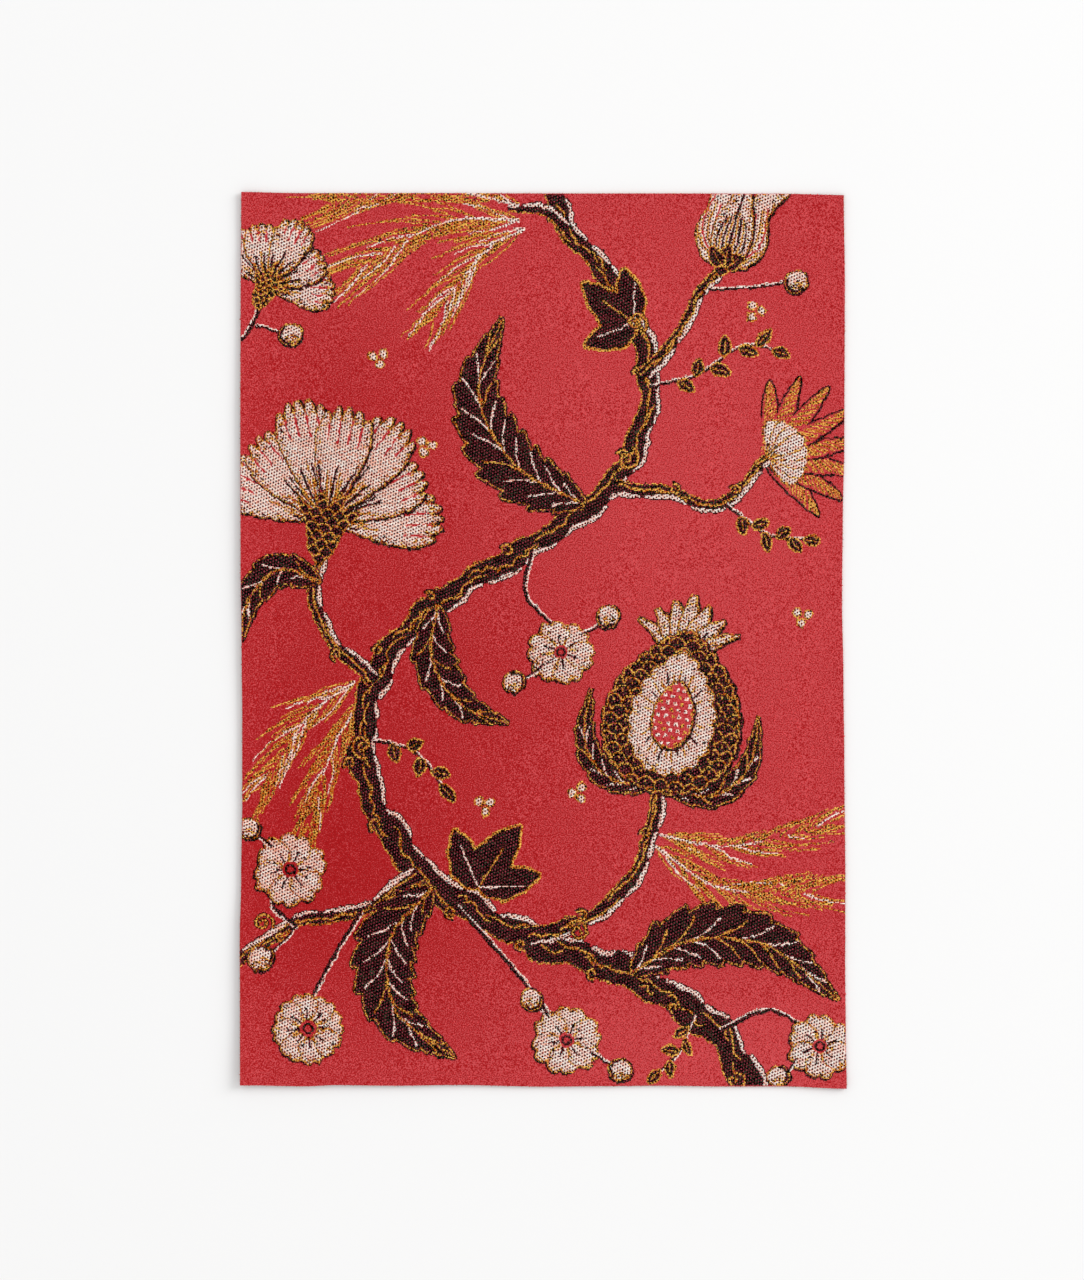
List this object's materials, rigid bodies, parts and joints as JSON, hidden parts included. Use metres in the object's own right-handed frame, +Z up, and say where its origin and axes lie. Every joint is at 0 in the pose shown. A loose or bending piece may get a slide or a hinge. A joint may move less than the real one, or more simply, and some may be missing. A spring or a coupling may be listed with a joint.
{
  "type": "cut length of jacquard cloth",
  "caption": "Flat cut length of red jacquard furnishing cloth with raw edges and a woven floral figure, lying face up.",
  "frame": {"origin": "on the surface that the cloth lies on, under the middle of its box", "axes": "+X across the cloth along the weft, +Y up its length along the warp, +Z up out of its face"},
  "size_m": [0.2062, 0.3048, 0.0035],
  "materials": {
    "ground": "matt red worsted-like ground weave with a fine grain",
    "dark_weft": "dark brown figuring yarn, matt",
    "cream_weft": "cream figuring yarn, soft sheen",
    "gold_weft": "old gold figuring yarn, soft sheen"
  },
  "bodies": {
    "root": {"cloth": "ground"}
  },
  "joints": []
}
